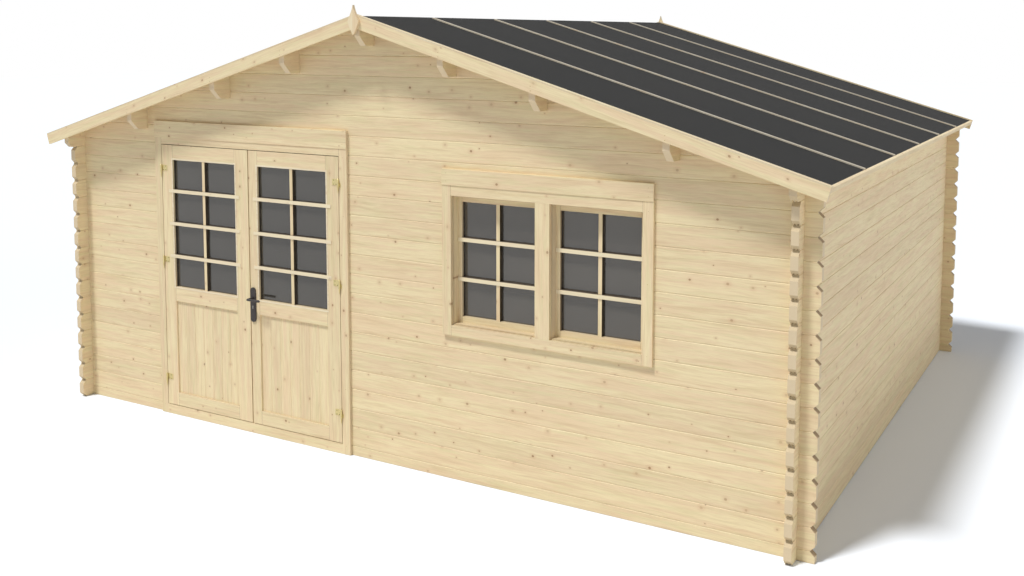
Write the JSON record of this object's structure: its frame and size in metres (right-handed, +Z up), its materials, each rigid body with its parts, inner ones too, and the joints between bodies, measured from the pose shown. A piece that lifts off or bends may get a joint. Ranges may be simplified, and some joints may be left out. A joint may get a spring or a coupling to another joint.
{
  "type": "log cabin",
  "caption": "One-room log cabin with interlocking log corners, a gabled felt roof on purlins, a glazed double door with a lever handle and a two-sash window.",
  "frame": {"origin": "middle of the footprint of the whole cabin, roof and finials included, on the ground", "axes": "+X to the right along the front wall and the longest way, +Y from the front wall to the back wall along the ridge, +Z up"},
  "size_m": [6.1164, 5.1446, 3.0745],
  "materials": {
    "log_wood": "planed, untreated spruce",
    "roof_wood": "planed, untreated spruce",
    "joinery_wood": "planed, untreated spruce",
    "roofing_felt": "matte",
    "glass": "clear, smooth",
    "brass": "satin",
    "dark_metal": "satin"
  },
  "bodies": {
    "cabin": {"front_wall_left": "log_wood", "front_wall_right": "log_wood", "front_gable": "log_wood", "back_wall": "log_wood", "back_gable": "log_wood", "left_wall": "log_wood", "right_wall": "log_wood", "left_wall_plate": "log_wood", "right_wall_plate": "log_wood", "ridge_purlin": "log_wood", "left_purlins": "log_wood", "right_purlins": "log_wood", "left_roof_boards": "roof_wood", "right_roof_boards": "roof_wood", "left_roof_felt": "roofing_felt", "right_roof_felt": "roofing_felt", "roof_battens": "roof_wood", "verge_strips": "roof_wood", "eave_trims": "roof_wood", "front_barge_left": "roof_wood", "front_barge_right": "roof_wood", "back_barge_left": "roof_wood", "back_barge_right": "roof_wood", "front_finial": "roof_wood", "back_finial": "roof_wood", "door_jambs": "joinery_wood", "door_head": "joinery_wood", "door_threshold": "joinery_wood", "door_casing": "joinery_wood", "door_lintel_board": "joinery_wood", "window_frame": "joinery_wood", "window_casing": "joinery_wood", "window_lintel_board": "joinery_wood", "window_sashes": "joinery_wood", "window_glass": "glass", "hinge_pins": "brass"},
    "left_door": {"left_leaf": "joinery_wood", "left_leaf_panel": "joinery_wood", "left_leaf_glass": "glass", "left_leaf_hinges": "brass"},
    "right_door": {"right_leaf": "joinery_wood", "right_leaf_panel": "joinery_wood", "right_leaf_glass": "glass", "right_leaf_hinges": "brass", "handle_plates": "dark_metal"},
    "lever": {"door_lever": "dark_metal"}
  },
  "joints": [
    {"name": "left_door_hinge", "type": "hinge", "parent": "cabin", "child": "left_door", "pos_m": [-1.9595, -2.4035, 1.07], "axis": [0, 0, -1], "range_deg": [0, 160]},
    {"name": "right_door_hinge", "type": "hinge", "parent": "cabin", "child": "right_door", "pos_m": [-0.2765, -2.4035, 1.07], "axis": [0, 0, 1], "range_deg": [0, 160]},
    {"name": "lever_turn", "type": "hinge", "parent": "right_door", "child": "lever", "pos_m": [-1.0665, -2.373, 1], "axis": [0, 1, 0], "range_deg": [0, 40], "stiffness_Nm_per_rad": 2, "springref_deg": -22.92}
  ]
}
